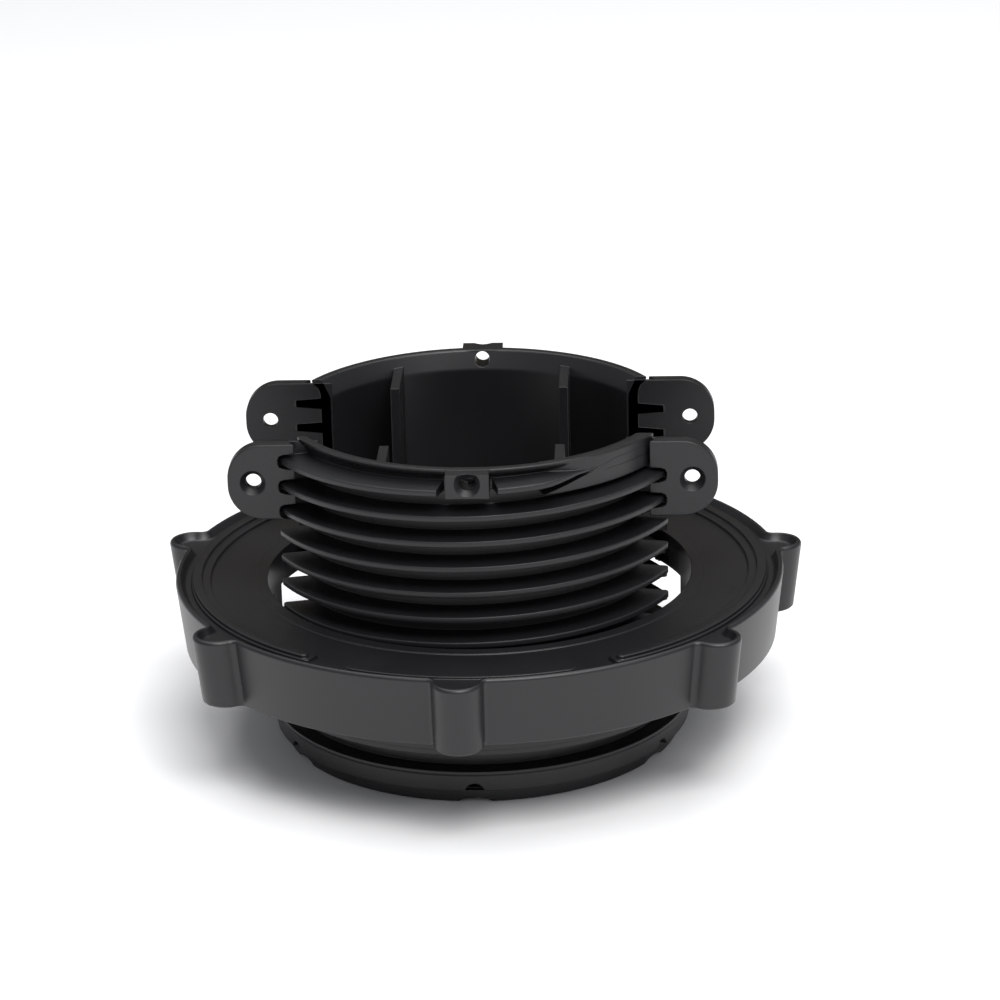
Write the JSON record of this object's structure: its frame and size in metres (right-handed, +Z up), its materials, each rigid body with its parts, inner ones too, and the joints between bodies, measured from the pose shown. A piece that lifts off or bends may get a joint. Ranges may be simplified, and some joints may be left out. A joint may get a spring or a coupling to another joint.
{
  "type": "decking pedestal",
  "caption": "Height-adjustable plastic decking pedestal: round foot, lobed levelling ring and a threaded cradle with a slot and screw ears for a timber joist.",
  "frame": {"origin": "thread axis at the underside of the foot", "axes": "+Z up the thread axis, +X along the joist slot, -Y the side with the front grip of the ring"},
  "size_m": [0.1688, 0.1661, 0.089],
  "materials": {
    "black_polypropylene": "satin moulded, fine matt grain"
  },
  "bodies": {
    "foot": {"base": "black_polypropylene"},
    "ring": {"levelling_ring": "black_polypropylene"},
    "cradle": {"joist_cradle": "black_polypropylene"}
  },
  "joints": [
    {"name": "ring_turn", "type": "hinge", "parent": "foot", "child": "ring", "pos_m": [0, 0, 0.03], "axis": [0, 0, 1], "range_deg": [-429, 0]},
    {"name": "cradle_lift", "type": "slide", "parent": "foot", "child": "cradle", "axis": [0, 0, 1], "range_m": [0, 0.008]}
  ],
  "couplings": [
    {"joint": "cradle_lift", "follows": "ring_turn", "m_per_rad": -0.0010663}
  ]
}
